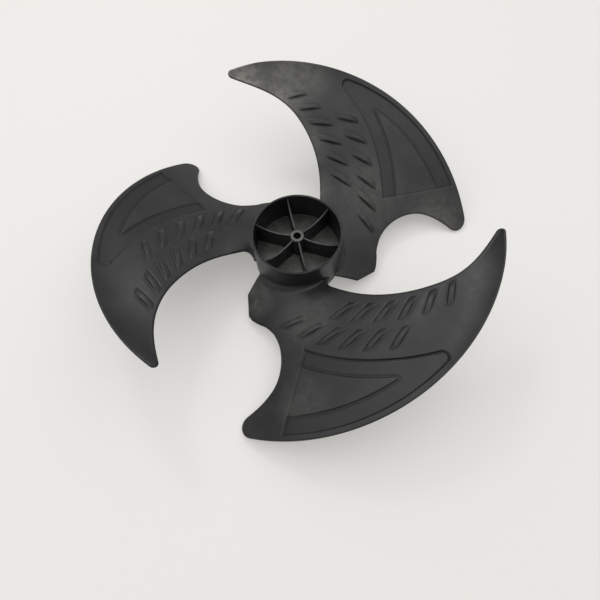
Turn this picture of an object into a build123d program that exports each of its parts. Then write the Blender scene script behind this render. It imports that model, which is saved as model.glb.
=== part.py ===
"""Three-bladed axial fan impeller, one plastic moulding.

The open side of the hub, where the motor stands, faces +Z. The origin is the middle of the boss's
upper face, where the shaft enters, and the bore runs down along -Z. Seen from +Z the fan turns
counter-clockwise. All sizes are in millimetres, all bearings in degrees round the axis from +X.
"""

import os
from math import atan2, cos, degrees, hypot, radians, sin, tan

from build123d import *

# Whole fan
fan_diameter = 422.0
blade_count = 3

# Hub: a round cup with a web across it
hub_diameter = 98.0
hub_height = 72.0
hub_wall = 2.4
hub_edge_chamfer = 0.6
web_depth = 36.0
web_thickness = 3.0

# Boss: a round bore, and a slot across its foot for the shaft's drive pin
boss_diameter = 15.0
boss_drop = 6.0
boss_reach = 12.0
boss_edge_chamfer = 0.6
bore_diameter = 8.0
pin_slot_width = 2.5
pin_slot_depth = 4.0

# Ribs between the boss and the hub wall, with a hollow top edge
rib_count = 6
rib_thickness = 2.0
rib_bearing = 40.0
rib_inner_drop = 1.0
rib_outer_drop = 2.5
rib_sag = 6.0

# Blade surface: heights of the upper face from the hub rim, at four bearings
blade_thickness = 4.0
section_bearings = (0.0, 30.0, 60.0, 90.0)
root_heights = (-43.5, -34.0, -33.0, -45.0)
middle_heights = (-72.0, -33.5, -1.5, 9.0)
outer_heights = (-96.5, -26.5, 18.0, 44.5)
middle_bearing = 35.0

# Outer edge: an arc about a point beside the axis, rounded at its lobe and its tip
outer_offset = 12.0
outer_bearing = 36.0
lobe_bearing = 3.2
lobe_round = 12.5
tip_bearing = 114.0
tip_round = 3.5

# Leading edge: points given by share of the span and bearing
lead_root_bearing = 58.0
lead_root_round = 9.0
lead_points = ((0.26, 71.6), (0.506, 82.8), (0.751, 96.3))

# Trailing edge: two straight cuts at the root, then a notch
trail_root_bearing = -39.6
trail_heel = (0.149, -25.4)
trail_corner = (0.253, -11.7)
notch_points = ((0.255, 1.7), (0.353, 14.3), (0.51, 18.7), (0.657, 17.8), (0.758, 14.7))

# Ridges in two rows, on arcs about one sweep centre, with steep sides and sloped ends
sweep_distance = 103.5
sweep_bearing = 139.0
ridge_height = 2.4
ridge_band = 23.0
ridge_width = 6.5
ridge_skew = -35.0
ridge_end_run = 7.0
ridge_side_run = 0.6
ridges_in_row = 6
inner_row_radius = 133.0
inner_row_bearing = 4.9
inner_row_pitch = 8.9
outer_row_radius = 162.0
outer_row_bearing = -12.0
outer_row_pitch = 7.9

# Thinned panel behind the ridges, with a raised tongue in it
panel_radius = 181.0
panel_depth = 1.6
panel_margin = 6.0
panel_round = 7.0
panel_start_bearing = -2.8
panel_end_bearing = 20.8
tongue_gap = 17.0
tongue_margin = 24.0
tongue_rise = 0.8
tongue_round = 2.0

# Places that follow from the sizes
fan_radius = fan_diameter / 2
hub_radius = hub_diameter / 2
cup_radius = hub_radius - hub_wall
wall_middle = hub_radius - hub_wall / 2
boss_radius = boss_diameter / 2
bore_radius = bore_diameter / 2
rim_z = boss_drop
foot_z = rim_z - hub_height
web_z = rim_z - web_depth
web_foot_z = web_z - web_thickness
boss_foot_z = web_foot_z - boss_reach
blade_span = fan_radius - hub_radius
outer_radius = fan_radius - outer_offset
section_radii = (hub_radius, hub_radius + blade_span / 2, fan_radius)
overlap = 1.0


def polar(radius, bearing):
    """Plan point at a radius and bearing about the axis."""
    return Vector(radius * cos(radians(bearing)), radius * sin(radians(bearing)))


def on_span(place):
    """Plan point at a share of the span, from hub to outer edge, and a bearing."""
    share, bearing = place
    return polar(hub_radius + share * blade_span, bearing)


def between(first, last, share):
    """Value at a share of the way from the first to the last."""
    return first + share * (last - first)


def through(knots, values, place):
    """Value at a place on the polynomial that takes the given values at the knots."""
    total = 0.0
    for i, value in enumerate(values):
        weight = 1.0
        for j, knot in enumerate(knots):
            if j != i:
                weight *= (place - knot) / (knots[i] - knot)
        total += value * weight
    return total


def face_height(radius, bearing):
    """Height of the blade's upper face: a cubic round the axis, a parabola along the span."""
    sections = (root_heights, middle_heights, outer_heights)
    heights = [through(section_bearings, section, bearing) for section in sections]
    return rim_z + through(section_radii, heights, radius)


def on_face(spot):
    """Point of the blade's upper face over a plan point."""
    return Vector(spot.X, spot.Y, face_height(hypot(spot.X, spot.Y), degrees(atan2(spot.Y, spot.X))))


def dropped(spot, seat):
    """Place on a seat, in its own axes, of a plan point dropped upright on it."""
    aside = Vector(spot.X - seat.origin.X, spot.Y - seat.origin.Y)
    rise = -aside.dot(seat.z_dir) / seat.z_dir.Z
    return seat.to_local_coords(seat.origin + aside + Vector(0, 0, rise))


def ridge_corners(middle, bearing, end_run, side_run):
    """Plan corners of a ridge drawn in at its ends and sides: its short ends follow the row."""
    half_band = ridge_band / 2 - end_run
    half_width = (ridge_width / 2 - side_run) / cos(radians(ridge_skew))
    slant = half_band * tan(radians(ridge_skew))
    corners = (
        (-half_band, -slant - half_width),
        (half_band, slant - half_width),
        (half_band, slant + half_width),
        (-half_band, -slant + half_width),
    )
    return [middle + Vector(*corner).rotate(Axis.Z, bearing) for corner in corners]


outer_centre = polar(outer_offset, outer_bearing)
sweep_centre = polar(sweep_distance, sweep_bearing)

# Upper face of a blade: an even plan grid, square to the blade's middle, that covers the outline
face_rows = 9
face_columns = 13
face_start = cup_radius * cos(radians(trail_root_bearing - middle_bearing)) - overlap
face_end = fan_radius + overlap
face_trail_side = fan_radius * sin(radians(lobe_bearing - middle_bearing))
face_lead_side = fan_radius * sin(radians(tip_bearing - middle_bearing))

face_points = []
for row in range(face_rows):
    outward = between(face_start, face_end, row / (face_rows - 1))
    row_points = []
    for column in range(face_columns):
        aside = between(face_trail_side, face_lead_side, column / (face_columns - 1))
        radius = hypot(outward, aside)
        bearing = middle_bearing + degrees(atan2(aside, outward))
        spot = polar(radius, bearing)
        row_points.append((spot.X, spot.Y, face_height(radius, bearing)))
    face_points.append(row_points)
upper_face = Face.make_surface_from_array_of_points(face_points)
face_box = upper_face.bounding_box()
plan_plane = Plane.XY.offset(face_box.max.Z + overlap)
plan_depth = face_box.size.Z + blade_thickness + 2 * overlap

# Outline of one blade in plan, with its root inside the hub wall
with BuildSketch(plan_plane) as blade_plan:
    with BuildLine():
        outer_edge = CenterArc(outer_centre, outer_radius, lobe_bearing, tip_bearing - lobe_bearing)
        lead_root = polar(cup_radius, lead_root_bearing)
        trail_root = polar(cup_radius, trail_root_bearing)
        Spline(outer_edge @ 1, *[on_span(place) for place in reversed(lead_points)], lead_root)
        Polyline(lead_root, trail_root, on_span(trail_heel), on_span(trail_corner))
        Spline(on_span(trail_corner), *[on_span(place) for place in notch_points], outer_edge @ 0)
    make_face()
    fillet(blade_plan.vertices().sort_by_distance(outer_edge @ 1)[0], tip_round)
    fillet(blade_plan.vertices().sort_by_distance(outer_edge @ 0)[0], lobe_round)
    Circle(wall_middle)
    lead_meets_hub = polar(wall_middle, lead_root_bearing)
    fillet(blade_plan.vertices().sort_by_distance(lead_meets_hub)[0], lead_root_round)
    Circle(wall_middle, mode=Mode.SUBTRACT)

# Everything on the leading side of the straight step that ends the panel
step_start = sweep_centre + polar(panel_radius, panel_start_bearing)
step_end = outer_centre + polar(outer_radius, panel_end_bearing)
step_run = (step_end - step_start).normalized() * fan_radius
step_side = step_run.rotate(Axis.Z, 90)
with BuildSketch(plan_plane) as ahead_of_step:
    with BuildLine():
        step_line = Line(step_start - step_run, step_end + step_run)
        Polyline(step_line @ 1, step_line @ 1 + step_side, step_line @ 0 + step_side, step_line @ 0)
    make_face()

# Panel: between a sweep arc, the outer edge's margin and the step
with BuildSketch(plan_plane) as panel_plan:
    with Locations(outer_centre):
        Circle(outer_radius - panel_margin)
    with Locations(sweep_centre):
        Circle(panel_radius, mode=Mode.SUBTRACT)
    add(ahead_of_step.sketch, mode=Mode.INTERSECT)
    fillet(panel_plan.vertices().sort_by(Axis.Y)[-1], panel_round)

# Tongue: a pointed island in the panel, between a wider sweep arc and an arc about the axis
with BuildSketch(plan_plane) as tongue_plan:
    Circle(fan_radius - tongue_margin)
    with Locations(sweep_centre):
        Circle(panel_radius + tongue_gap, mode=Mode.SUBTRACT)
    add(ahead_of_step.sketch, mode=Mode.INTERSECT)
    fillet(tongue_plan.vertices().sort_by(Axis.Y)[-1], tongue_round)

# Ridges: each a loft from the face to its smaller top, square to the face under its middle
ridge_rows = (
    (inner_row_radius, inner_row_bearing, inner_row_pitch),
    (outer_row_radius, outer_row_bearing, outer_row_pitch),
)
with BuildPart() as ridges:
    for row_radius, first_bearing, pitch in ridge_rows:
        for number in range(ridges_in_row):
            bearing = first_bearing + number * pitch
            middle = sweep_centre + polar(row_radius, bearing)
            seat = Plane(on_face(middle), z_dir=upper_face.normal_at(on_face(middle)))
            for level, end_run, side_run in (
                (-overlap, 0, 0),
                (ridge_height, ridge_end_run, ridge_side_run),
            ):
                corners = ridge_corners(middle, bearing, end_run, side_run)
                with BuildSketch(seat.offset(level)):
                    Polygon(*[dropped(corner, seat) for corner in corners], align=None)
            loft()

# What the panel takes out, and what the tongue puts back
with BuildPart() as panel:
    extrude(upper_face.moved(Pos(0, 0, -panel_depth)), amount=panel_depth + overlap, dir=(0, 0, 1))
    extrude(panel_plan.sketch, amount=-plan_depth, mode=Mode.INTERSECT)

with BuildPart() as tongue:
    extrude(upper_face.moved(Pos(0, 0, -panel_depth)), amount=tongue_rise, dir=(0, 0, 1))
    extrude(tongue_plan.sketch, amount=-plan_depth, mode=Mode.INTERSECT)

# One blade: a sheet under the upper face, cut to its outline
with BuildPart() as blade:
    extrude(upper_face, amount=blade_thickness, dir=(0, 0, -1))
    extrude(blade_plan.sketch, amount=-plan_depth, mode=Mode.INTERSECT)
    add(panel.part, mode=Mode.SUBTRACT)
    add(tongue.part)
    add(ridges.part)

# One rib, from inside the boss to inside the hub wall
with BuildPart() as rib:
    with BuildSketch(Plane.XZ) as rib_section:
        with BuildLine():
            inner_top = Vector(boss_radius - overlap, -rib_inner_drop)
            outer_top = Vector(wall_middle, rim_z - rib_outer_drop)
            low_point = (inner_top + outer_top) / 2 - Vector(0, rib_sag)
            rib_foot_z = web_z - web_thickness / 2
            ThreePointArc(inner_top, low_point, outer_top)
            Polyline(outer_top, (outer_top.X, rib_foot_z), (inner_top.X, rib_foot_z), inner_top)
        make_face()
    extrude(amount=rib_thickness / 2, both=True)

# The whole moulding
with BuildPart() as fan_impeller:
    with BuildSketch(Plane.XZ) as hub_section:
        with Locations((0, foot_z)):
            Rectangle(hub_radius, hub_height, align=Align.MIN)
        with Locations((0, web_z)):
            Rectangle(cup_radius, web_depth, align=Align.MIN, mode=Mode.SUBTRACT)
        with Locations((0, foot_z)):
            Rectangle(cup_radius, web_foot_z - foot_z, align=Align.MIN, mode=Mode.SUBTRACT)
        with Locations((0, boss_foot_z)):
            Rectangle(boss_radius, -boss_foot_z, align=Align.MIN)
        for hub_end in (-1, 0):
            chamfer(hub_section.vertices().group_by(Axis.Y)[hub_end], hub_edge_chamfer)
        for boss_end_z in (0, boss_foot_z):
            boss_edge = hub_section.vertices().sort_by_distance((boss_radius, boss_end_z))[0]
            chamfer(boss_edge, boss_edge_chamfer)
    revolve(axis=Axis.Z)
    with PolarLocations(0, rib_count, rib_bearing):
        add(rib.part)
    with PolarLocations(0, blade_count):
        add(blade.part)
    with BuildSketch(Plane.XY):
        Circle(bore_radius)
    extrude(amount=boss_foot_z, mode=Mode.SUBTRACT)
    with BuildSketch(Plane.XY.offset(boss_foot_z)):
        Rectangle(boss_diameter, pin_slot_width)
    extrude(amount=pin_slot_depth, mode=Mode.SUBTRACT)

os.makedirs("parts", exist_ok=True)
fan_impeller.part.label = "fan_impeller"
export_step(fan_impeller.part, "parts/fan_impeller.step")
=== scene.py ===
"""Dressed model of a three-bladed axial fan impeller, laid out as a Blender add-on.

Lengths in the formulas are millimetres and bearings are degrees round the axis from +X.
Meshes are written in metres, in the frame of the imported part: +Z runs up out of the open hub.
"""

import math

import bpy
import numpy as np
from mathutils import Matrix, Vector


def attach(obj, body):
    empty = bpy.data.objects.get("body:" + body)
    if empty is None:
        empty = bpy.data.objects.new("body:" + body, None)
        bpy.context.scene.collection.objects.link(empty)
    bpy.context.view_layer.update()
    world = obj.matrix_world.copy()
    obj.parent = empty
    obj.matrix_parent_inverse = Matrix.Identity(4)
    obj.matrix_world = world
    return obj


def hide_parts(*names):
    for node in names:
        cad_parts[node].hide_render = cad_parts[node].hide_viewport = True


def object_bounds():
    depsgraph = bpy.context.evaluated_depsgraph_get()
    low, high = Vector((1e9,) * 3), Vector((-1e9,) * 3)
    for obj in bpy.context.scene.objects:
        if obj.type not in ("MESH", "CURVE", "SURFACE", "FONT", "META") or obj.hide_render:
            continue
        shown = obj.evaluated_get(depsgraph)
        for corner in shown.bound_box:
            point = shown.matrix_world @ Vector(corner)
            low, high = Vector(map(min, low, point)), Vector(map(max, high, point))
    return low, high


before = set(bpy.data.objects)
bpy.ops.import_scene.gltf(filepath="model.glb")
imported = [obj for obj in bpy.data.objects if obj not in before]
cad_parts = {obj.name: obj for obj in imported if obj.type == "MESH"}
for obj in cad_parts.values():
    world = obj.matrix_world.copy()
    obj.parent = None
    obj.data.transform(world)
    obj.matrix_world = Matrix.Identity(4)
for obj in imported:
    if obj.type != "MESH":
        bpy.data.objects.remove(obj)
cad_low, cad_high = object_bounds()

bl_info = {
    "name": "Axial fan impeller",
    "version": (1, 0, 0),
    "blender": (4, 5, 0),
    "location": "3D View > Sidebar > Fan",
    "description": "Makes a moulded three-bladed fan impeller with its stage",
    "category": "Add Mesh",
}

MM = 0.001
NODE = "fan_impeller"
BODY = "root"
BLADES = 3

# Heights of a blade's upper face from the hub rim, at four bearings and three radii
SECTION_BEARINGS = (0.0, 30.0, 60.0, 90.0)
ROOT_HEIGHTS = (-41.4, -34.0, -33.0, -45.0)
MIDDLE_HEIGHTS = (-72.0, -33.5, -1.5, 9.0)
OUTER_HEIGHTS = (-96.5, -26.5, 18.0, 44.5)

# Hollow inside the outer edge near the tip: its run and depth, and the bearings over which it grows
HOLLOW_RUN, HOLLOW_DEPTH = 60.0, 4.6
HOLLOW_START, HOLLOW_GROWTH = 45.0, 30.0

# Plan outline of a blade: span shares and bearings of its corner and curve points
OUTER_OFFSET, OUTER_BEARING = 12.0, 36.0
LOBE_BEARING, LOBE_ROUND = 3.2, 12.5
TIP_BEARING, TIP_ROUND = 116.0, 4.2
LEAD_ROOT_BEARING, LEAD_ROOT_ROUND = 58.0, 9.0
LEAD_POINTS = ((0.26, 71.6), (0.506, 82.8), (0.751, 96.3))
TRAIL_ROOT_BEARING = -36.7
TRAIL_HEEL = (0.147, -25.9)
TRAIL_CORNER = (0.25, -12.3)
NOTCH_POINTS = ((0.256, 1.8), (0.354, 14.5), (0.509, 18.7), (0.661, 17.5), (0.753, 14.7))

# Ridges, panel and tongue, on arcs about one sweep centre
SWEEP_DISTANCE, SWEEP_BEARING = 103.5, 139.0
RIDGES_IN_ROW = 6
RIDGE_ROWS = ((133.0, 4.9, 8.9), (162.0, -12.0, 7.9))
RIDGE_BAND, RIDGE_WIDTH, RIDGE_SKEW = 23.0, 6.5, -35.0
RIDGE_SIDE_RUN, RIDGE_LINE = 0.7, 0.6
PANEL_RADIUS, PANEL_MARGIN, PANEL_ROUND = 181.0, 6.0, 7.0
PANEL_START_BEARING, PANEL_END_BEARING = -2.8, 20.8
TONGUE_GAP, TONGUE_MARGIN, TONGUE_ROUND = 17.0, 24.0, 2.0

# Runs of the sloped walls that edge the panel and the tongue, and the fine groove at their foot
PANEL_WALL, TONGUE_WALL, STEP_WALL = 1.0, 1.0, 1.0
GROOVE_WIDTH, GROOVE_FADE, STEP_GROOVE = 1.1, 9.0, 0.45

# How strongly and from how far the mesh is drawn to a wall
DRAW_PULL, DRAW_REACH = 0.66, 1.6

# Share of a side that takes the close rows by the hub, and of the columns over which the fillet fades
ROOT_BAND, FILLET_FADE = 0.04, 0.2

# Points before and after the tip over which the edge changes to the fuller leading edge
LEAD_BEFORE, LEAD_AFTER = 40, 20

# How far the rounded edge keeps inside the outline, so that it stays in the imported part's box
EDGE_CLEARANCE = 0.1

# How deep a rib's inner end lies in the boss
RIB_ROOT = 1.0

# Camera, solved from the hub rim and the three equal blades
CAMERA_DISTANCE = 538.1
CAMERA_ELEVATION = 58.772
CAMERA_PAN, CAMERA_TILT, CAMERA_ROLL = -0.15, 7.654, -3.725
CAMERA_LENS, CAMERA_SENSOR = 30.085, 36.0

# Places of dry dust, some partly painted light that lifts faces in shade, such as the hub cup's floor:
# bearing, radius and height of the middle, its reach, and its strength
DUST_AND_LIGHT_PLACES = (
    (72.0, 66.0, -6.0, 40.0, 0.8),
    (86.0, 112.0, 12.0, 50.0, 0.8),
    (98.0, 160.0, 32.0, 66.0, 1.3),
    (110.0, 190.0, 45.0, 70.0, 2.2),
    (90.0, 196.0, 28.0, 75.0, 0.85),
    (10.0, 168.0, -56.0, 75.0, 0.7),
    (35.0, 110.0, -18.0, 80.0, 0.4),
    (276.0, 86.0, -36.0, 55.0, 0.4),
    (222.0, 74.0, -45.0, 40.0, 0.5),
    (268.0, 175.0, -25.0, 50.0, 0.3),
    (336.0, 186.0, 40.0, 40.0, 0.15),
    (190.0, 75.0, -30.0, 45.0, 0.3),
    # The cup's floor: painted light that lifts the shade inside the hub
    (0.0, 0.0, -33.0, 74.0, 1.25),
)
DUST_EVERYWHERE = 0.05

# Sizes of the clouds of bloom, of the dust's mottle and of the mould's grain
CLOUD_SIZE, MOTTLE_SIZE, GRAIN_SIZE = 26.0, 9.0, 1.1

# Noise values between which the bloom and the dust grow, the most of the bloom and the least of the dust
BLOOM_LOW, BLOOM_HIGH, BLOOM_MOST = 0.38, 0.72, 0.6
SPECK_LOW, SPECK_HIGH, SPECK_LEAST = 0.36, 0.66, 0.42

# Upward part of a face's normal over which dust starts to lie, the least of it, and the share of bloom and
# dust that the sunk channel keeps
LEVEL_LOW, LEVEL_HIGH, LEVEL_LEAST = 0.3, 0.8, 0.08
CHANNEL_KEEPS = 0.25

# Noise values over which the skin's roughness changes, and its change down and up
ROUGH_LOW, ROUGH_HIGH = 0.3, 0.7
ROUGH_LESS, ROUGH_MORE = 0.05, 0.07

# Strength and depth of the mould's grain, and the refractive index of polypropylene
GRAIN_STRENGTH, GRAIN_DEPTH = 0.1, 0.12
PLASTIC_IOR = 1.49

# Half width, in metres, and roughness of the floor
FLOOR_HALF, FLOOR_ROUGHNESS = 3.0, 0.85

# Lamps: bearing, lift and reach in metres, the width of the soft panels and the right one's share of power
KEY_PLACE = (112.0, 54.0, 1.3)
LEFT_PLACE = (172.0, 48.0, 1.4)
RIGHT_PLACE = (20.0, 52.0, 1.4)
SOFT_SIZE, RIGHT_SHARE = 1.0, 0.75

# The room is brightest overhead, leaning to the far side; its light grows between two cosines to that way
ROOM_UP = (0.0, 0.15, 0.989)
ROOM_LOW, ROOM_HIGH = 0.35, 0.95


def linear(code):
    """Linear RGB of an sRGB hex code such as 8a8a8a."""
    parts = [int(code[i:i + 2], 16) / 255 for i in (0, 2, 4)]
    return tuple(p / 12.92 if p <= 0.04045 else ((p + 0.055) / 1.055) ** 2.4 for p in parts)


def length_prop(name, description, millimetres):
    """A length property whose default is given in millimetres."""
    return bpy.props.FloatProperty(
        name=name, description=description, default=millimetres * MM, unit="LENGTH", precision=4)


def colour_prop(name, description, code):
    """A colour property whose default is an sRGB hex code."""
    return bpy.props.FloatVectorProperty(
        name=name, description=description, default=linear(code), subtype="COLOR", size=3, min=0, max=1)


def share_prop(name, description, value):
    """A property between 0 and 1."""
    return bpy.props.FloatProperty(
        name=name, description=description, default=value, min=0, max=1, subtype="FACTOR")


class FanSizes(bpy.types.PropertyGroup):
    """Sizes of the moulding."""

    fan_diameter: length_prop("Fan diameter", "Across the blades' widest sweep", 422)
    hub_diameter: length_prop("Hub diameter", "Outside of the hub cup", 98)
    hub_height: length_prop("Hub height", "From the rim to the foot of the cup", 54)
    hub_wall: length_prop("Hub wall", "Thickness of the cup's wall", 2.4)
    web_depth: length_prop("Web depth", "From the rim down to the web", 36)
    web_thickness: length_prop("Web thickness", "Thickness of the web across the cup", 3)
    boss_diameter: length_prop("Boss diameter", "Outside of the boss", 15)
    boss_drop: length_prop("Boss drop", "From the rim down to the top of the boss", 6)
    boss_reach: length_prop("Boss reach", "From the web down to the foot of the boss", 12)
    bore_diameter: length_prop("Bore diameter", "Bore for the motor shaft", 8)
    pin_slot_width: length_prop("Pin slot width", "Slot in the boss's foot for the drive pin", 2.5)
    pin_slot_depth: length_prop("Pin slot depth", "Depth of the slot in the boss's foot", 4)
    rib_thickness: length_prop("Rib thickness", "Thickness of the ribs in the cup", 2)
    rib_inner_drop: length_prop("Rib inner drop", "From the boss's top down to the rib", 1)
    rib_outer_drop: length_prop("Rib outer drop", "From the rim down to the rib", 2.5)
    rib_sag: length_prop("Rib sag", "How far the rib's top edge hollows", 6)
    rib_bearing: bpy.props.FloatProperty(
        name="Rib bearing", description="Turn of the first rib", default=math.radians(40), subtype="ANGLE")
    blade_thickness: length_prop("Blade thickness", "Upright thickness of a blade", 4)
    edge_round: length_prop("Edge round", "How far a blade's rounded edge runs in", 1.4)
    lead_round: length_prop("Leading edge round", "How far the fuller leading edge runs in", 3.4)
    root_round: length_prop("Root round", "Fillet between a blade and the hub", 6)
    ridge_height: length_prop("Ridge height", "Height of the ridges on a blade", 2.4)
    panel_depth: length_prop("Panel depth", "Depth of the thinned panel", 1.6)
    tongue_rise: length_prop("Tongue rise", "Height of the tongue above the panel", 0.8)
    groove_depth: length_prop("Groove depth", "Depth of the grooves round panel, tongue and ridges", 0.9)


class FanFinish(bpy.types.PropertyGroup):
    """Colours and gloss of the plastic."""

    plastic: colour_prop("Plastic", "Clean black plastic", "17171a")
    bloom: colour_prop("Bloom", "Greyed bloom of handled plastic", "2a2a29")
    # The dust colour also carries painted light where the dust places lift shaded faces
    dust: colour_prop("Dust", "Dry dust that lies on the blades", "8a8882")
    dust_and_light_amount: share_prop("Dust amount", "How much dust lies where it is thickest", 0.55)
    roughness: share_prop("Roughness", "Roughness of the moulded skin", 0.42)


class StageLook(bpy.types.PropertyGroup):
    """Floor and light round the fan."""

    floor: colour_prop("Floor", "Pale matt floor", "f1efeb")
    glow: share_prop("Glow", "Share of the floor's brightness that shadows do not dim", 0.35)
    key_power: bpy.props.FloatProperty(
        name="Key power", description="Power of the smaller lamp", default=1.8, unit="POWER")
    key_size: length_prop("Key size", "Width of the smaller lamp", 260)
    soft_power: bpy.props.FloatProperty(
        name="Soft power", description="Power of the left soft panel; the right one has a share",
        default=1.6, unit="POWER")
    sky: bpy.props.FloatProperty(
        name="Sky", description="Strength of the light from overhead", default=1.22, min=0)
    backdrop: share_prop("Backdrop", "Brightness of the room behind the floor's far edge", 0.84)
    horizon: share_prop("Horizon", "Share of the sky's strength low down and all round", 0.16)


def polar(radius, bearing):
    """Plan points at a radius and bearing: radius times the cosine and sine of the bearing."""
    turn = np.radians(bearing)
    return np.stack([radius * np.cos(turn), radius * np.sin(turn)], -1)


def length_of(vectors):
    """Lengths of plan vectors."""
    return np.hypot(vectors[..., 0], vectors[..., 1])


def through(knots, values, place):
    """Polynomial through values at knots, as the sum of weighted values.

    A value's weight is a product that is 1 at its own knot and 0 at the others.
    """
    total = 0.0
    for i, value in enumerate(values):
        weight = 1.0
        for j, knot in enumerate(knots):
            if j != i:
                weight = weight * (place - knot) / (knots[i] - knot)
        total = total + value * weight
    return total


def soft_step(distance, run):
    """1 inside a shape, 0 outside, by a cubic S-curve over the run that ends at its edge."""
    share = np.clip(-distance / run, 0, 1)
    return share * share * (3 - 2 * share)


def resample(line, places):
    """Points at shares of a polyline's length, by straight steps between its points."""
    run = np.concatenate([[0], np.cumsum(length_of(np.diff(line, axis=0)))])
    run = run / run[-1]
    return np.stack([np.interp(places, run, line[:, k]) for k in (0, 1)], -1)


def smooth_line(points, count=600):
    """Natural cubic spline through plan points, its parameter being the chord length."""
    points = np.asarray(points, float)
    knots = np.concatenate([[0], np.cumsum(length_of(np.diff(points, axis=0)))])
    gaps = np.diff(knots)
    size = len(points)
    system = np.eye(size)
    right = np.zeros((size, 2))
    for k in range(1, size - 1):
        system[k, k - 1:k + 2] = gaps[k - 1], 2 * (gaps[k - 1] + gaps[k]), gaps[k]
        right[k] = 6 * ((points[k + 1] - points[k]) / gaps[k] - (points[k] - points[k - 1]) / gaps[k - 1])
    bend = np.linalg.solve(system, right)
    place = np.linspace(0, knots[-1], count)
    k = np.clip(np.searchsorted(knots, place) - 1, 0, size - 2)
    gap = gaps[k][:, None]
    after = (place - knots[k])[:, None]
    before = gap - after
    cubic = (bend[k] * before ** 3 + bend[k + 1] * after ** 3) / (6 * gap)
    start = (points[k] / gap - bend[k] * gap / 6) * before
    end = (points[k + 1] / gap - bend[k + 1] * gap / 6) * after
    return cubic + start + end


def left_normals(line):
    """Unit normals to the left of a polyline, from its central differences."""
    along = np.gradient(line, axis=0)
    along /= length_of(along)[:, None]
    return np.stack([-along[:, 1], along[:, 0]], -1)


def round_corner(first, second, radius, steps=24):
    """Two lines that meet, trimmed to where a circle inside their left turn touches both, and the arc.

    The circle's middle is where the lines, each moved left by the radius, cross.
    """
    inner_first = first + radius * left_normals(first)
    inner_second = second + radius * left_normals(second)
    apart = length_of(inner_first[:, None] - inner_second[None])
    i, j = np.unravel_index(np.argmin(apart), apart.shape)
    middle = (inner_first[i] + inner_second[j]) / 2
    start = math.atan2(*(first[i] - middle)[::-1])
    turn = (math.atan2(*(second[j] - middle)[::-1]) - start) % (2 * math.pi)
    angles = np.degrees(start + np.linspace(0, turn, steps))
    return first[:i + 1], middle + polar(radius, angles), second[j:]


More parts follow.
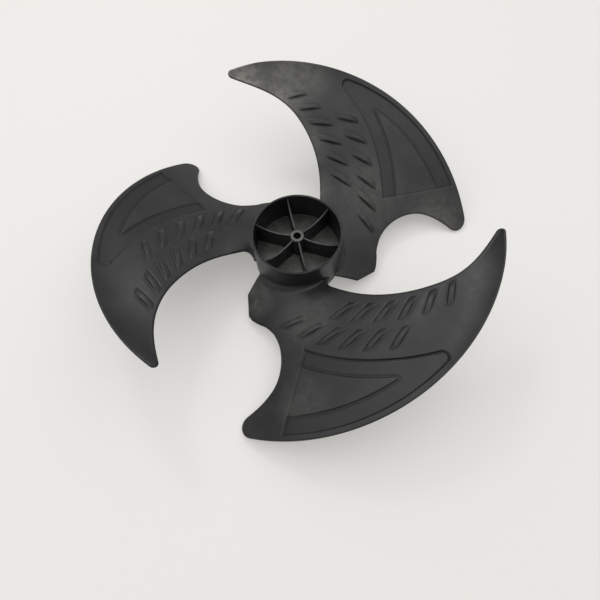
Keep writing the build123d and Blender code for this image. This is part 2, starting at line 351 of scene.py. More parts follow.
class BladePlan:
    """Plan of one blade: its outline's sides, its height and the distances to its features."""

    def __init__(self, sizes):
        self.fan_radius = sizes.fan_diameter / MM / 2
        self.hub_radius = sizes.hub_diameter / MM / 2
        self.root_radius = self.hub_radius - sizes.hub_wall / MM / 2
        self.rim = sizes.boss_drop / MM
        self.span = self.fan_radius - self.hub_radius
        self.outer_radius = self.fan_radius - OUTER_OFFSET
        self.outer_centre = polar(OUTER_OFFSET, OUTER_BEARING)
        self.sweep_centre = polar(SWEEP_DISTANCE, SWEEP_BEARING)
        step_start = self.sweep_centre + polar(PANEL_RADIUS, PANEL_START_BEARING)
        step_end = self.outer_centre + polar(self.outer_radius, PANEL_END_BEARING)
        along = (step_end - step_start) / length_of(step_end - step_start)
        self.step_start = step_start
        self.step_along = along / length_of(step_end - step_start)
        self.step_side = np.array([-along[1], along[0]])

    def on_span(self, place):
        """Plan point at a share of the span and a bearing."""
        return polar(self.hub_radius + place[0] * self.span, place[1])

    def height(self, plan):
        """Height of the upper face: a cubic in the bearing, a parabola in the radius, less the hollow."""
        bearing = np.degrees(np.arctan2(plan[..., 1], plan[..., 0]))
        sections = (ROOT_HEIGHTS, MIDDLE_HEIGHTS, OUTER_HEIGHTS)
        heights = [through(SECTION_BEARINGS, section, bearing) for section in sections]
        radii = (self.hub_radius, self.hub_radius + self.span / 2, self.fan_radius)
        return self.rim + through(radii, heights, length_of(plan)) - self.hollow(plan, bearing)

    def hollow(self, plan, bearing):
        """Depth of the hollow inside the outer edge: a cubic in the distance from that edge.

        It is deepest at a third of its run, where the factor 27/4 brings it to the full depth.
        """
        share = np.clip((self.outer_radius - length_of(plan - self.outer_centre)) / HOLLOW_RUN, 0, 1)
        cubic = 27 / 4 * share * (1 - share) ** 2
        return HOLLOW_DEPTH * cubic * soft_step(HOLLOW_START - bearing, HOLLOW_GROWTH)

    def normals(self, plan, step=0.1):
        """Unit normals of the upper face, from central differences of its height."""
        slope_x = (self.height(plan + [step, 0]) - self.height(plan - [step, 0])) / (2 * step)
        slope_y = (self.height(plan + [0, step]) - self.height(plan - [0, step])) / (2 * step)
        steep = np.sqrt(1 + slope_x ** 2 + slope_y ** 2)
        return np.stack([-slope_x, -slope_y, np.ones_like(slope_x)], -1) / steep[..., None]

    def sides(self, row_places, column_places):
        """Trailing, outer and leading side as point rows: arcs, splines and rounded corners."""
        bearings = np.linspace(LOBE_BEARING, TIP_BEARING, 900)
        outer = self.outer_centre + polar(self.outer_radius, bearings)
        root = polar(self.root_radius, LEAD_ROOT_BEARING)
        lead = smooth_line([outer[-1], *[self.on_span(p) for p in reversed(LEAD_POINTS)], root])
        corner = self.on_span(TRAIL_CORNER)
        notch = smooth_line([corner, *[self.on_span(p) for p in NOTCH_POINTS], outer[0]])
        outer, tip_arc, lead = round_corner(outer, lead, TIP_ROUND)
        notch, lobe_arc, outer = round_corner(notch, outer, LOBE_ROUND)
        lead, flare = self.flare(lead)
        half_lobe, half_tip = len(lobe_arc) // 2, len(tip_arc) // 2
        heel = self.on_span(TRAIL_HEEL)
        trail_root = polar(self.root_radius, TRAIL_ROOT_BEARING)
        trail = np.concatenate([[trail_root, heel], notch, lobe_arc[1:half_lobe + 1]])
        outer = np.concatenate([lobe_arc[half_lobe:], outer[1:], tip_arc[1:half_tip + 1]])
        lead = np.concatenate([tip_arc[half_tip:], lead[1:], flare[1:]])[::-1]
        return resample(trail, row_places), resample(outer, column_places), resample(lead, row_places)

    def flare(self, lead, steps=20):
        """Leading edge trimmed to an arc that runs out along the hub, and that arc.

        The arc's middle lies a radius off the edge and a radius off the hub's wall.
        """
        beside = lead - LEAD_ROOT_ROUND * left_normals(lead)
        k = np.argmin(np.abs(length_of(beside) - self.root_radius - LEAD_ROOT_ROUND))
        middle = beside[k]
        start = math.atan2(*(lead[k] - middle)[::-1])
        end = math.atan2(*(-middle)[::-1])
        turn = (end - start + math.pi) % (2 * math.pi) - math.pi
        angles = np.degrees(start + np.linspace(0, turn, steps))
        return lead[:k + 1], middle + polar(LEAD_ROOT_ROUND, angles)

    def ridge_frames(self, plan):
        """Places in each ridge's axes: across its row and off its long middle line, and the way off it."""
        skew = math.radians(RIDGE_SKEW)
        for row_radius, first, pitch in RIDGE_ROWS:
            for number in range(RIDGES_IN_ROW):
                outward = polar(1.0, first + number * pitch)
                onward = np.array([-outward[1], outward[0]])
                offset = plan - self.sweep_centre - row_radius * outward
                sideways = onward * math.cos(skew) - outward * math.sin(skew)
                yield offset @ outward, offset @ sideways, sideways

    def ridge_shares(self, plan):
        """Shares of the full ridge height and of the fine line at the ridges' feet.

        A ridge has steep sides under a crest that arches as a parabola, and the line is a bell curve.
        """
        share, line = np.zeros((2, *plan.shape[:-1]))
        for across, aside, _ in self.ridge_frames(plan):
            off = np.abs(aside) - RIDGE_WIDTH / 2
            arch = np.clip(1 - (2 * across / RIDGE_BAND) ** 2, 0, 1)
            share = np.maximum(share, soft_step(off, RIDGE_SIDE_RUN) * arch)
            line = np.maximum(line, np.exp(-((off - RIDGE_LINE / 2) / RIDGE_LINE) ** 2) * np.sqrt(arch))
        return share, line

    def drawn_to_ridges(self, plan):
        """Plan points drawn sideways to the ridges' side walls, less and less towards their ends."""
        moved = plan.copy()
        for across, aside, sideways in self.ridge_frames(plan):
            off = np.abs(aside) - (RIDGE_WIDTH - RIDGE_SIDE_RUN) / 2
            fade = np.clip(1 - (2 * across / RIDGE_BAND) ** 2, 0, 1)
            move = -DRAW_PULL * off * np.exp(-(off / DRAW_REACH) ** 2) * fade * np.sign(aside)
            moved += move[..., None] * sideways
        return moved

    def ahead(self, plan):
        """Distance ahead of the straight step, along the way the fan turns."""
        return (plan - self.step_start) @ self.step_side

    def drawn_to_step(self, plan):
        """Plan points drawn to the straight step's wall, less and less towards its ends."""
        share = np.clip((plan - self.step_start) @ self.step_along, 0, 1)
        off = self.ahead(plan) - STEP_WALL / 2
        move = -DRAW_PULL * off * np.exp(-(off / DRAW_REACH) ** 2) * np.sqrt(4 * share * (1 - share))
        return plan + move[..., None] * self.step_side

    def crescent_distance(self, plan, centre, radius, inner_radius, tip_round):
        """Signed distance to a crescent, below 0 inside.

        It lies inside a circle and outside a sweep arc, and a small circle rounds its far end.
        """
        to_sweep = length_of(plan - self.sweep_centre)
        body = np.maximum(length_of(plan - centre) - radius, inner_radius - to_sweep)
        base = self.sweep_centre - centre
        gap = length_of(base)
        reach, sweep_reach = radius - tip_round, inner_radius + tip_round
        along = (reach ** 2 - sweep_reach ** 2 + gap ** 2) / (2 * gap)
        aside = math.sqrt(reach ** 2 - along ** 2)
        unit = base / gap
        middle = centre + along * unit + aside * np.array([unit[1], -unit[0]])
        outward = (middle - centre) / reach + (middle - self.sweep_centre) / sweep_reach
        past = np.array([-outward[1], outward[0]]) / length_of(outward)
        beyond = (plan - middle) @ past
        tip = length_of(plan - middle) - tip_round
        return np.minimum(np.maximum(body, beyond), tip)

    def panel_distance(self, plan):
        """Signed distance to the thinned panel."""
        radius = self.outer_radius - PANEL_MARGIN
        return self.crescent_distance(plan, self.outer_centre, radius, PANEL_RADIUS, PANEL_ROUND)

    def tongue_distance(self, plan):
        """Signed distance to the raised tongue in the panel."""
        radius = self.fan_radius - TONGUE_MARGIN
        return self.crescent_distance(plan, np.zeros(2), radius, PANEL_RADIUS + TONGUE_GAP, TONGUE_ROUND)


def drawn_to(plan, distance, run):
    """Plan points drawn towards the middle of a wall, so that more of them fall on it.

    A point moves along the distance's gradient by a share of its distance that fades as a bell curve.
    """
    step = 0.05
    off = distance(plan) + run / 2
    slope_x = (distance(plan + [step, 0]) - distance(plan - [step, 0])) / (2 * step)
    slope_y = (distance(plan + [0, step]) - distance(plan - [0, step])) / (2 * step)
    move = -DRAW_PULL * off * np.exp(-(off / DRAW_REACH) ** 2)
    return plan + move[..., None] * np.stack([slope_x, slope_y], -1)


def filled(trail, outer, lead, root_radius):
    """Grid between the sides: their transfinite blend in radius and bearing.

    Each point is the sum of the straight blends between opposite sides, less the blend of the corners.
    """
    def in_polar(line):
        return np.stack([length_of(line), np.degrees(np.arctan2(line[:, 1], line[:, 0]))], -1)

    trail, outer, lead = in_polar(trail), in_polar(outer), in_polar(lead)
    columns = np.linspace(0, 1, len(outer))
    root = trail[0] + columns[:, None] * (lead[0] - trail[0])
    root[:, 0] = root_radius
    rows = np.linspace(0, 1, len(trail))[:, None, None]
    columns = columns[None, :, None]
    across = (1 - columns) * trail[:, None] + columns * lead[:, None]
    outward = (1 - rows) * root[None] + rows * outer[None]
    corners = (1 - rows) * ((1 - columns) * trail[0] + columns * lead[0])
    corners = corners + rows * ((1 - columns) * trail[-1] + columns * lead[-1])
    grid = across + outward - corners
    return polar(grid[..., 0], grid[..., 1])


def grid_faces(index):
    """Quads of a grid of point numbers."""
    return np.stack([index[:-1, :-1], index[1:, :-1], index[1:, 1:], index[:-1, 1:]], -1).reshape(-1, 4)


def grid_rim(index):
    """Point numbers round a grid, once round against the clock."""
    return np.concatenate([index[:, 0], index[-1, 1:], index[-2::-1, -1], index[0, -2:0:-1]])


def ring_faces(rings):
    """Quads between rows of closed rings, given as index rows; each ring closes on itself."""
    after = np.roll(rings, -1, axis=1)
    return np.stack([rings[:-1], rings[1:], after[1:], after[:-1]], -1).reshape(-1, 4)


def halving_faces(fine, coarse):
    """Triangles between a closed ring and one with half as many points."""
    even, odd, after = fine[::2], fine[1::2], np.roll(fine[::2], -1)
    coarse_after = np.roll(coarse, -1)
    sets = ((even, coarse, odd), (odd, coarse, coarse_after), (odd, coarse_after, after))
    return np.concatenate([np.stack(corners, -1) for corners in sets])


def blade_relief(plan, sizes, spots):
    """Relief of the upper face, and the shares of ridge and of sunk channel there.

    The panel is sunk behind soft walls, the tongue is raised in it, and bell-curve grooves run at the feet.
    """
    panel, tongue, ahead = plan.panel_distance(spots), plan.tongue_distance(spots), plan.ahead(spots)
    inside = soft_step(-ahead, STEP_WALL)
    sunk, raised = soft_step(panel, PANEL_WALL) * inside, soft_step(tongue, TONGUE_WALL) * inside
    from_edge = plan.outer_radius - PANEL_MARGIN - length_of(spots - plan.outer_centre)
    groove = np.exp(-((panel + PANEL_WALL) / GROOVE_WIDTH) ** 2) * soft_step(-from_edge, GROOVE_FADE)
    groove = np.maximum(groove, np.exp(-((tongue - GROOVE_WIDTH / 2) / GROOVE_WIDTH) ** 2))
    groove = np.maximum(groove, STEP_GROOVE * np.exp(-((ahead - STEP_WALL) / GROOVE_WIDTH) ** 2))
    ridge, ridge_line = plan.ridge_shares(spots)
    relief = sizes.tongue_rise * raised - sizes.panel_depth * sunk
    relief = (relief - sizes.groove_depth * np.maximum(groove * sunk, ridge_line)) / MM
    return relief, ridge, sunk * (1 - raised)


def blade_mesh(sizes):
    """Points and faces of the first blade, a closed shell, and each point's share of sunk channel.

    The upper face is the height formula with its relief, and the ridges are raised square to it. The lower
    face lies a thickness below the plain formula, on a grid half as fine. A half-ellipse carried along the
    outline joins them, wider along the leading edge.
    """
    rows, columns, edge_rings, root_rows = 187, 369, 7, 11
    plan = BladePlan(sizes)
    near_hub = np.linspace(0, ROOT_BAND, root_rows, endpoint=False)
    row_places = np.concatenate([near_hub, np.linspace(ROOT_BAND, 1, rows - root_rows)])
    trail, outer, lead = plan.sides(row_places, np.linspace(0, 1, columns))
    rim_line = np.concatenate([trail, outer[1:], lead[-2::-1]])
    inward = left_normals(rim_line)
    tip = rows + columns
    full = np.interp(np.arange(len(rim_line)), [tip - LEAD_BEFORE, tip + LEAD_AFTER], [0, 1])
    inset = (sizes.edge_round + full * (sizes.lead_round - sizes.edge_round)) / MM
    inner = rim_line + inset[:, None] * inward
    sides = inner[:rows], inner[rows - 1:tip - 1], inner[tip - 2:][::-1]
    plain = filled(*sides, plan.root_radius)
    shaped = plan.drawn_to_step(plan.drawn_to_ridges(plain))
    shaped = drawn_to(shaped, plan.panel_distance, PANEL_WALL)
    shaped = drawn_to(shaped, plan.tongue_distance, TONGUE_WALL)
    for edge in (np.s_[0], np.s_[-1], np.s_[:, 0], np.s_[:, -1]):
        shaped[edge] = plain[edge]
    relief, ridge, channel = blade_relief(plan, sizes, shaped)
    fillet = sizes.root_round / MM
    share = np.linspace(0, 1, columns)
    fade = soft_step(-np.minimum(share, 1 - share), FILLET_FADE)

    def climb(spots):
        """Rise of a quarter-circle fillet towards the hub's wall, that fades at the blade's two edges."""
        off = np.clip(length_of(spots) - plan.hub_radius, 0, fillet)
        return fade * (fillet - np.sqrt(fillet ** 2 - (fillet - off) ** 2))

    upper = plan.height(shaped) + relief + climb(shaped)
    lower = plan.height(plain) - sizes.blade_thickness / MM - climb(plain)
    top = np.concatenate([shaped, upper[..., None]], -1)
    top = top + (sizes.ridge_height / MM * ridge)[..., None] * plan.normals(shaped)
    bottom = np.concatenate([plain, lower[..., None]], -1)
    top_index = np.arange(rows * columns).reshape(rows, columns)
    loop = grid_rim(top_index)
    start, end = top.reshape(-1, 3)[loop], bottom.reshape(-1, 3)[loop]
    outward = np.zeros((len(loop), 3))
    outward[:len(rim_line), :2] = -inward * (inset[:, None] - EDGE_CLEARANCE)
    angle = np.linspace(0, np.pi, edge_rings)[1:-1, None, None]
    band = (start + end) / 2 + (start - end) / 2 * np.cos(angle) + outward * np.sin(angle)
    band_index = top_index.size + np.arange(len(angle) * len(loop)).reshape(-1, len(loop))
    coarse = bottom[::2, ::2]
    coarse_index = np.arange(coarse.size // 3).reshape(coarse.shape[:2]) + top_index.size + band_index.size
    points = np.concatenate([top.reshape(-1, 3), band.reshape(-1, 3), coarse.reshape(-1, 3)])
    quads = np.concatenate([
        grid_faces(top_index),
        grid_faces(coarse_index)[:, ::-1],
        ring_faces(np.concatenate([loop[None], band_index])),
    ])
    channel_share = np.zeros(len(points))
    channel_share[:top_index.size] = channel.reshape(-1)
    joining = halving_faces(band_index[-1], grid_rim(coarse_index))
    return points, quads.tolist() + joining.tolist(), channel_share


def rounded_profile(points, rounds, steps=6, support=0.5):
    """Closed profile whose corners are arcs of the given rounds, with a support point beside each arc."""
    points = np.asarray(points, float)
    made = []
    for k, radius in enumerate(rounds):
        corner = points[k]
        back = points[k - 1] - corner
        ahead = points[(k + 1) % len(points)] - corner
        back /= length_of(back)
        ahead /= length_of(ahead)
        half = math.acos(np.clip(back @ ahead, -1, 1)) / 2
        run = radius / math.tan(half)
        bisector = (back + ahead) / length_of(back + ahead)
        middle = corner + bisector * radius / math.sin(half)
        first, last = corner + back * run - middle, corner + ahead * run - middle
        share = np.linspace(0, 1, steps)[:, None]
        span = math.pi - 2 * half
        arc = (np.sin((1 - share) * span) * first + np.sin(share * span) * last) / math.sin(span)
        made.append((corner + back * (run + support))[None])
        made.append(middle + arc)
        made.append((corner + ahead * (run + support))[None])
    return np.concatenate(made)


def hub_mesh(sizes):
    """Points and quads of the hub cup, web and boss: one closed profile turned round the axis.

    Over the drive pin's slot, points below its roof are lifted to the roof.
    """
    segments = 288
    outside = sizes.hub_diameter / MM / 2
    inside = outside - sizes.hub_wall / MM
    boss, bore = sizes.boss_diameter / MM / 2, sizes.bore_diameter / MM / 2
    rim = sizes.boss_drop / MM
    foot = rim - sizes.hub_height / MM
    web = rim - sizes.web_depth / MM
    web_foot = web - sizes.web_thickness / MM
    boss_foot = web_foot - sizes.boss_reach / MM
    rim_round, web_round, boss_round, bore_round = 0.8, 0.7, 0.9, 0.4
    slot_wall, skin = 0.3, 0.1
    corners = (
        (outside, foot, rim_round), (outside, rim, rim_round), (inside, rim, rim_round),
        (inside, web, web_round), (boss, web, web_round), (boss, 0.0, boss_round), (bore, 0.0, bore_round),
        (bore, boss_foot, bore_round), (boss, boss_foot, boss_round), (boss, web_foot, web_round),
        (inside, web_foot, web_round), (inside, foot, rim_round),
    )
    profile = rounded_profile([c[:2] for c in corners], [c[2] for c in corners])
    turn = np.linspace(0, 2 * np.pi, segments, endpoint=False)[:, None]
    aside = profile[:, 0] * np.sin(turn)
    in_slot = soft_step(np.abs(aside) - sizes.pin_slot_width / MM / 2, slot_wall)
    roof = boss_foot + sizes.pin_slot_depth / MM * in_slot
    in_boss = profile[:, 0] < boss + skin
    level = np.where(in_boss, np.maximum(profile[:, 1], roof), profile[:, 1] + 0 * turn)
    around = np.stack([profile[:, 0] * np.cos(turn), aside, level], -1)
    index = np.arange(segments * len(profile)).reshape(segments, -1)
    return around.reshape(-1, 3), ring_faces(np.concatenate([index, index[:1]]))


def turned(points, angle):
    """Points turned about the axis by an angle."""
    cos, sin = math.cos(angle), math.sin(angle)
    return points @ np.array([[cos, sin, 0], [-sin, cos, 0], [0, 0, 1]])


def ribs_mesh(sizes, count=6):
    """Points, quads and end caps of the ribs: a round-topped section carried from boss to hub wall.

    The top edge follows the circle through its two ends and its low middle.
    """
    rim = sizes.boss_drop / MM
    foot = rim - (sizes.web_depth + sizes.web_thickness / 2) / MM
    half = sizes.rib_thickness / MM / 2
    start = np.array([sizes.boss_diameter / MM / 2 - RIB_ROOT, -sizes.rib_inner_drop / MM])
    end = np.array([(sizes.hub_diameter - sizes.hub_wall) / MM / 2, rim - sizes.rib_outer_drop / MM])
    chord = end - start
    length = length_of(chord)
    sag = sizes.rib_sag / MM
    radius = (length ** 2 / 4 + sag ** 2) / (2 * sag)
    stations, crown_steps = 48, 9
    along = np.linspace(0, 1, stations)
    dip = np.sqrt(radius ** 2 - ((along - 0.5) * length) ** 2) - (radius - sag)
    path = start + along[:, None] * chord - dip[:, None] * np.array([-chord[1], chord[0]]) / length
    crown = np.linspace(0, np.pi, crown_steps)
    side = np.concatenate([[half], half * np.cos(crown), [-half]])
    drop = np.concatenate([[0], half * np.sin(crown) - half, [0]])
    base = np.concatenate([[1], np.zeros(crown_steps), [1]])
    level = path[:, 1:] * (1 - base) + foot * base + drop * (1 - base)
    out, aside = np.broadcast_to(path[:, :1], level.shape), np.broadcast_to(side, level.shape)
    spots = np.stack([out, aside, level], -1)
    ring = len(side)
    index = np.arange(stations * ring).reshape(stations, ring)
    quads = ring_faces(index)
    caps = [index[0], index[-1][::-1]]
    points, faces = [], []
    for number in range(count):
        turn = sizes.rib_bearing + 2 * math.pi * number / count
        points.append(turned(spots.reshape(-1, 3), turn))
        faces += (quads + number * stations * ring).tolist()
        faces += [(cap + number * stations * ring).tolist() for cap in caps]
    return np.concatenate(points), faces


def add_piece(name, points, faces, material, channel_share=None):
    """A smooth-shaded piece made from points in millimetres, riding on the fan's body.

    The share of sunk channel at each point, where the material keeps less bloom and dust, goes into an
    attribute that the material reads.
    """
    mesh = bpy.data.meshes.new(name)
    mesh.from_pydata((points * MM).tolist(), [], faces)
    mesh.validate()
    mesh.shade_smooth()
    if channel_share is not None:
        mesh.attributes.new("channel_share", "FLOAT", "POINT").data.foreach_set("value", channel_share)
    mesh.materials.append(material)
    piece = bpy.data.objects.new(name, mesh)
    bpy.context.scene.collection.objects.link(piece)
    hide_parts(NODE)
    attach(piece, BODY)
    return piece


def add_node(tree, kind, settings=None, **inputs):
    """A shader node with its settings; an input, by name or number, is a value or a feeding socket."""
    node = tree.nodes.new(kind)
    for key, value in (settings or {}).items():
        setattr(node, key, value)
    for key, value in inputs.items():
        socket = node.inputs[int(key[1:])] if key[1:].isdigit() else node.inputs[key.replace("_", " ")]
        if isinstance(value, bpy.types.NodeSocket):
            tree.links.new(value, socket)
        else:
            socket.default_value = value
    return node


def dust_and_light_lie(tree, spot):
    """Socket with the thickness of the dust and painted light: the greatest of the places' smooth falls with
    distance.
    """
    lie = DUST_EVERYWHERE
    for bearing, radius, height, reach, strength in DUST_AND_LIGHT_PLACES:
        middle = (*(polar(radius, bearing) * MM), height * MM)
        away = add_node(tree, "ShaderNodeVectorMath", {"operation": "DISTANCE"}, _0=spot, _1=middle)
        near = add_node(tree, "ShaderNodeMapRange", {"interpolation_type": "SMOOTHERSTEP"},
                        Value=away.outputs["Value"], From_Max=reach * MM, To_Min=strength, To_Max=0.0)
        most = add_node(tree, "ShaderNodeMath", {"operation": "MAXIMUM"}, _0=near.outputs[0], _1=lie)
        lie = most.outputs[0]
    return lie


def black_polypropylene():
    """Moulded black polypropylene, satin, with a greyed bloom and soft blotches of dry dust, partly painted
    light that lifts shaded faces such as the hub cup's floor.

    The mould's fine grain dulls the highlight and handling leaves paler clouds a few centimetres wide. Dust
    lies where a face looks up, with little on steep faces. The sunk channel round the tongue keeps less
    bloom and dust, and so is darker.
    """
    name = "moulded_black_polypropylene"
    if name in bpy.data.materials:
        return bpy.data.materials[name]
    finish = bpy.context.scene.fan_finish
    material = bpy.data.materials.new(name)
    material.use_nodes = True
    tree = material.node_tree
    tree.nodes.clear()
    spot = add_node(tree, "ShaderNodeTexCoord").outputs["Object"]
    clouds = add_node(tree, "ShaderNodeTexNoise", Vector=spot, Scale=1 / (CLOUD_SIZE * MM), Detail=4.0,
                      Roughness=0.6)
    mottle = add_node(tree, "ShaderNodeTexNoise", Vector=spot, Scale=1 / (MOTTLE_SIZE * MM), Detail=5.0,
                      Roughness=0.62)
    grain = add_node(tree, "ShaderNodeTexNoise", Vector=spot, Scale=1 / (GRAIN_SIZE * MM), Detail=2.0)
    channel_share = add_node(tree, "ShaderNodeAttribute", {"attribute_name": "channel_share"}).outputs["Fac"]
    outside_channel = add_node(tree, "ShaderNodeMapRange", Value=channel_share, To_Min=1.0, To_Max=CHANNEL_KEEPS)
    bloom = add_node(tree, "ShaderNodeMapRange", {"interpolation_type": "SMOOTHSTEP"},
                     Value=clouds.outputs["Fac"], From_Min=BLOOM_LOW, From_Max=BLOOM_HIGH, To_Max=BLOOM_MOST)
    greyed = add_node(tree, "ShaderNodeMath", {"operation": "MULTIPLY"}, _0=bloom.outputs[0],
                      _1=outside_channel.outputs[0])
    ground = add_node(tree, "ShaderNodeMix", {"data_type": "RGBA"}, Factor=greyed.outputs[0],
                      _6=(*finish.plastic, 1), _7=(*finish.bloom, 1))
    facing = add_node(tree, "ShaderNodeNewGeometry").outputs["Normal"]
    lift = add_node(tree, "ShaderNodeSeparateXYZ", Vector=facing).outputs["Z"]
    level = add_node(tree, "ShaderNodeMapRange", Value=lift, From_Min=LEVEL_LOW, From_Max=LEVEL_HIGH,
                     To_Min=LEVEL_LEAST, To_Max=1.0)
    speck = add_node(tree, "ShaderNodeMapRange", Value=mottle.outputs["Fac"], From_Min=SPECK_LOW,
                     From_Max=SPECK_HIGH, To_Min=SPECK_LEAST, To_Max=1.0)
    amount = level.outputs[0]
    # Dust, partly painted light: where a face looks up, outside the sunk channel, near the places and in
    # specks
    for share in (outside_channel.outputs[0], dust_and_light_lie(tree, spot), speck.outputs[0], finish.dust_and_light_amount):
        amount = add_node(tree, "ShaderNodeMath", {"operation": "MULTIPLY"}, _0=amount, _1=share).outputs[0]
    colour = add_node(tree, "ShaderNodeMix", {"data_type": "RGBA"}, Factor=amount, _6=ground.outputs[2],
                      _7=(*finish.dust, 1))
    rough = add_node(tree, "ShaderNodeMapRange", Value=mottle.outputs["Fac"], From_Min=ROUGH_LOW,
                     From_Max=ROUGH_HIGH, To_Min=finish.roughness - ROUGH_LESS,
                     To_Max=finish.roughness + ROUGH_MORE)
    bump = add_node(tree, "ShaderNodeBump", Strength=GRAIN_STRENGTH, Distance=GRAIN_DEPTH * MM,
                    Height=grain.outputs["Fac"])
    shader = add_node(tree, "ShaderNodeBsdfPrincipled", Base_Color=colour.outputs[2],
                      Roughness=rough.outputs[0], IOR=PLASTIC_IOR, Normal=bump.outputs["Normal"])
    add_node(tree, "ShaderNodeOutputMaterial", Surface=shader.outputs["BSDF"])
    return material


class FAN_OT_hub(bpy.types.Operator):
    """Make the hub cup with its web and boss."""

    bl_idname = "fan.hub"
    bl_label = "Hub cup"

    def execute(self, context):
        points, quads = hub_mesh(context.scene.fan_sizes)
        add_piece("hub_cup", points, quads.tolist(), black_polypropylene())
        return {"FINISHED"}


class FAN_OT_ribs(bpy.types.Operator):
    """Make the ribs inside the hub cup."""

    bl_idname = "fan.ribs"
    bl_label = "Hub ribs"

    def execute(self, context):
        points, faces = ribs_mesh(context.scene.fan_sizes)
        add_piece("hub_ribs", points, faces, black_polypropylene())
        return {"FINISHED"}


class FAN_OT_blades(bpy.types.Operator):
    """Make the three blades."""

    bl_idname = "fan.blades"
    bl_label = "Blades"

    def execute(self, context):
        points, faces, channel_share = blade_mesh(context.scene.fan_sizes)
        for number in range(BLADES):
            angle = 2 * math.pi * number / BLADES
            add_piece(f"blade_{number + 1}", turned(points, angle), faces, black_polypropylene(), channel_share)
        return {"FINISHED"}


def camera_turn():
    """Camera axes as columns: the view to the middle of the hub's rim, then its pan, tilt and roll."""
    lift = math.radians(CAMERA_ELEVATION)
    forward = np.array([0, math.cos(lift), -math.sin(lift)])
    right = np.array([1.0, 0, 0])
    axes = np.array([right, np.cross(forward, right), forward])
    pan, tilt, roll = (math.radians(a) for a in (CAMERA_PAN, CAMERA_TILT, CAMERA_ROLL))
    panned = np.eye(3)
    panned[::2, ::2] = [[math.cos(pan), -math.sin(pan)], [math.sin(pan), math.cos(pan)]]
    tilted = np.eye(3)
    tilted[1:, 1:] = [[math.cos(tilt), -math.sin(tilt)], [math.sin(tilt), math.cos(tilt)]]
    rolled = np.eye(3)
    rolled[:2, :2] = [[math.cos(roll), -math.sin(roll)], [math.sin(roll), math.cos(roll)]]
    right, down, forward = rolled @ tilted @ panned @ axes
    return np.stack([right, -down, -forward], -1)


def add_lamp(name, bearing, lift, reach, size, power):
    """A round soft lamp at a bearing, lift and reach from the hub, facing it."""
    lamp = bpy.data.lights.new(name, "AREA")
    lamp.shape = "DISK"
    lamp.size = size
    lamp.energy = power
    thing = bpy.data.objects.new(name, lamp)
    rise = math.radians(lift)
    place = Vector((*polar(reach * math.cos(rise), bearing), reach * math.sin(rise)))
    thing.location = place
    thing.rotation_mode = "QUATERNION"
    thing.rotation_quaternion = (-place).to_track_quat("-Z", "Y")
    bpy.context.scene.collection.objects.link(thing)


def add_floor(look):
    """A plain pale square under the fan."""
    # Matt white board that glows a little, so that the shadows on it stay light
    material = bpy.data.materials.new("matt_white_board")
    material.use_nodes = True
    shader = material.node_tree.nodes["Principled BSDF"]
    shader.inputs["Base Color"].default_value = (*[part * (1 - look.glow) for part in look.floor], 1)
    shader.inputs["Emission Color"].default_value = (*look.floor, 1)
    shader.inputs["Emission Strength"].default_value = look.glow
    shader.inputs["Roughness"].default_value = FLOOR_ROUGHNESS
    half, level = FLOOR_HALF, cad_low.z
    mesh = bpy.data.meshes.new("floor")
    corners = [(-half, -half, level), (half, -half, level), (half, half, level), (-half, half, level)]
    mesh.from_pydata(corners, [], [(0, 1, 2, 3)])
    mesh.materials.append(material)
    floor = bpy.data.objects.new("floor", mesh)
    bpy.context.scene.collection.objects.link(floor)


def add_room(look):
    """A soft room, brightest overhead, with an even pale backdrop where the camera looks past the floor."""
    world = bpy.data.worlds.new("soft_room")
    world.use_nodes = True
    tree = world.node_tree
    way = add_node(tree, "ShaderNodeTexCoord").outputs["Generated"]
    upward = add_node(tree, "ShaderNodeVectorMath", {"operation": "DOT_PRODUCT"}, _0=way, _1=ROOM_UP)
    light = add_node(tree, "ShaderNodeMapRange", Value=upward.outputs["Value"], From_Min=ROOM_LOW,
                     From_Max=ROOM_HIGH, To_Min=look.sky * look.horizon, To_Max=look.sky)
    seen = add_node(tree, "ShaderNodeLightPath").outputs["Is Camera Ray"]
    strength = add_node(tree, "ShaderNodeMapRange", Value=seen, To_Min=light.outputs[0],
                        To_Max=look.backdrop)
    background = tree.nodes["Background"]
    background.inputs["Color"].default_value = (1, 1, 1, 1)
    tree.links.new(strength.outputs[0], background.inputs["Strength"])
    bpy.context.scene.world = world


def add_camera(rim):
    """The camera, at its distance and elevation from the middle of the hub's rim."""
    lens = bpy.data.cameras.new("camera")
    lens.lens = CAMERA_LENS
    lens.sensor_width = CAMERA_SENSOR
    lens.clip_start = 0.01
    camera = bpy.data.objects.new("camera", lens)
    lift = math.radians(CAMERA_ELEVATION)
    reach = CAMERA_DISTANCE * MM
    place = Vector((0, -reach * math.cos(lift), reach * math.sin(lift) + rim))
    camera.matrix_world = Matrix.Translation(place) @ Matrix(camera_turn().tolist()).to_4x4()
    bpy.context.scene.collection.objects.link(camera)
    bpy.context.scene.camera = camera


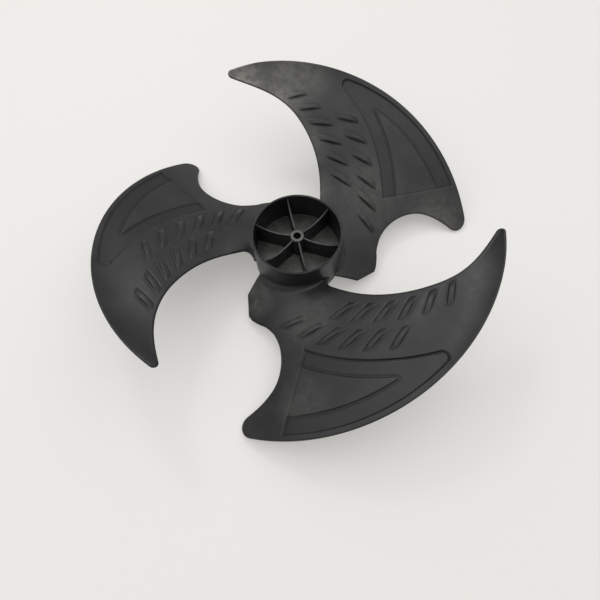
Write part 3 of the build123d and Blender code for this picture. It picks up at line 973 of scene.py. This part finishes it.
class FAN_OT_stage(bpy.types.Operator):
    """Make the floor, the lamps, the room and the camera."""

    bl_idname = "fan.stage"
    bl_label = "Stage"

    def execute(self, context):
        look = context.scene.fan_stage
        add_floor(look)
        add_lamp("key_lamp", *KEY_PLACE, look.key_size, look.key_power)
        add_lamp("left_panel", *LEFT_PLACE, SOFT_SIZE, look.soft_power)
        add_lamp("right_panel", *RIGHT_PLACE, SOFT_SIZE, look.soft_power * RIGHT_SHARE)
        add_room(look)
        add_camera(context.scene.fan_sizes.boss_drop)
        context.scene.view_settings.view_transform = "Standard"
        return {"FINISHED"}


class FAN_PT_panel(bpy.types.Panel):
    """Sidebar panel with the fan's sizes, finish and pieces."""

    bl_idname = "FAN_PT_panel"
    bl_label = "Axial fan"
    bl_space_type = "VIEW_3D"
    bl_region_type = "UI"
    bl_category = "Fan"

    def draw(self, context):
        for group in (context.scene.fan_sizes, context.scene.fan_finish, context.scene.fan_stage):
            box = self.layout.box()
            for key in group.__annotations__:
                box.prop(group, key)
        for operator in OPERATORS:
            self.layout.operator(operator.bl_idname)


OPERATORS = (FAN_OT_hub, FAN_OT_ribs, FAN_OT_blades, FAN_OT_stage)
CLASSES = (FanSizes, FanFinish, StageLook, *OPERATORS, FAN_PT_panel)


def register():
    """Register the classes and hang the properties on the scene."""
    for item in CLASSES:
        bpy.utils.register_class(item)
    bpy.types.Scene.fan_sizes = bpy.props.PointerProperty(type=FanSizes)
    bpy.types.Scene.fan_finish = bpy.props.PointerProperty(type=FanFinish)
    bpy.types.Scene.fan_stage = bpy.props.PointerProperty(type=StageLook)


def unregister():
    """Take the properties and the classes away again."""
    for key in ("fan_sizes", "fan_finish", "fan_stage"):
        delattr(bpy.types.Scene, key)
    for item in reversed(CLASSES):
        bpy.utils.unregister_class(item)


def main():
    """Make every piece in order."""
    register()
    bpy.ops.fan.hub()
    bpy.ops.fan.ribs()
    bpy.ops.fan.blades()
    bpy.ops.fan.stage()


if __name__ == "__main__":
    main()
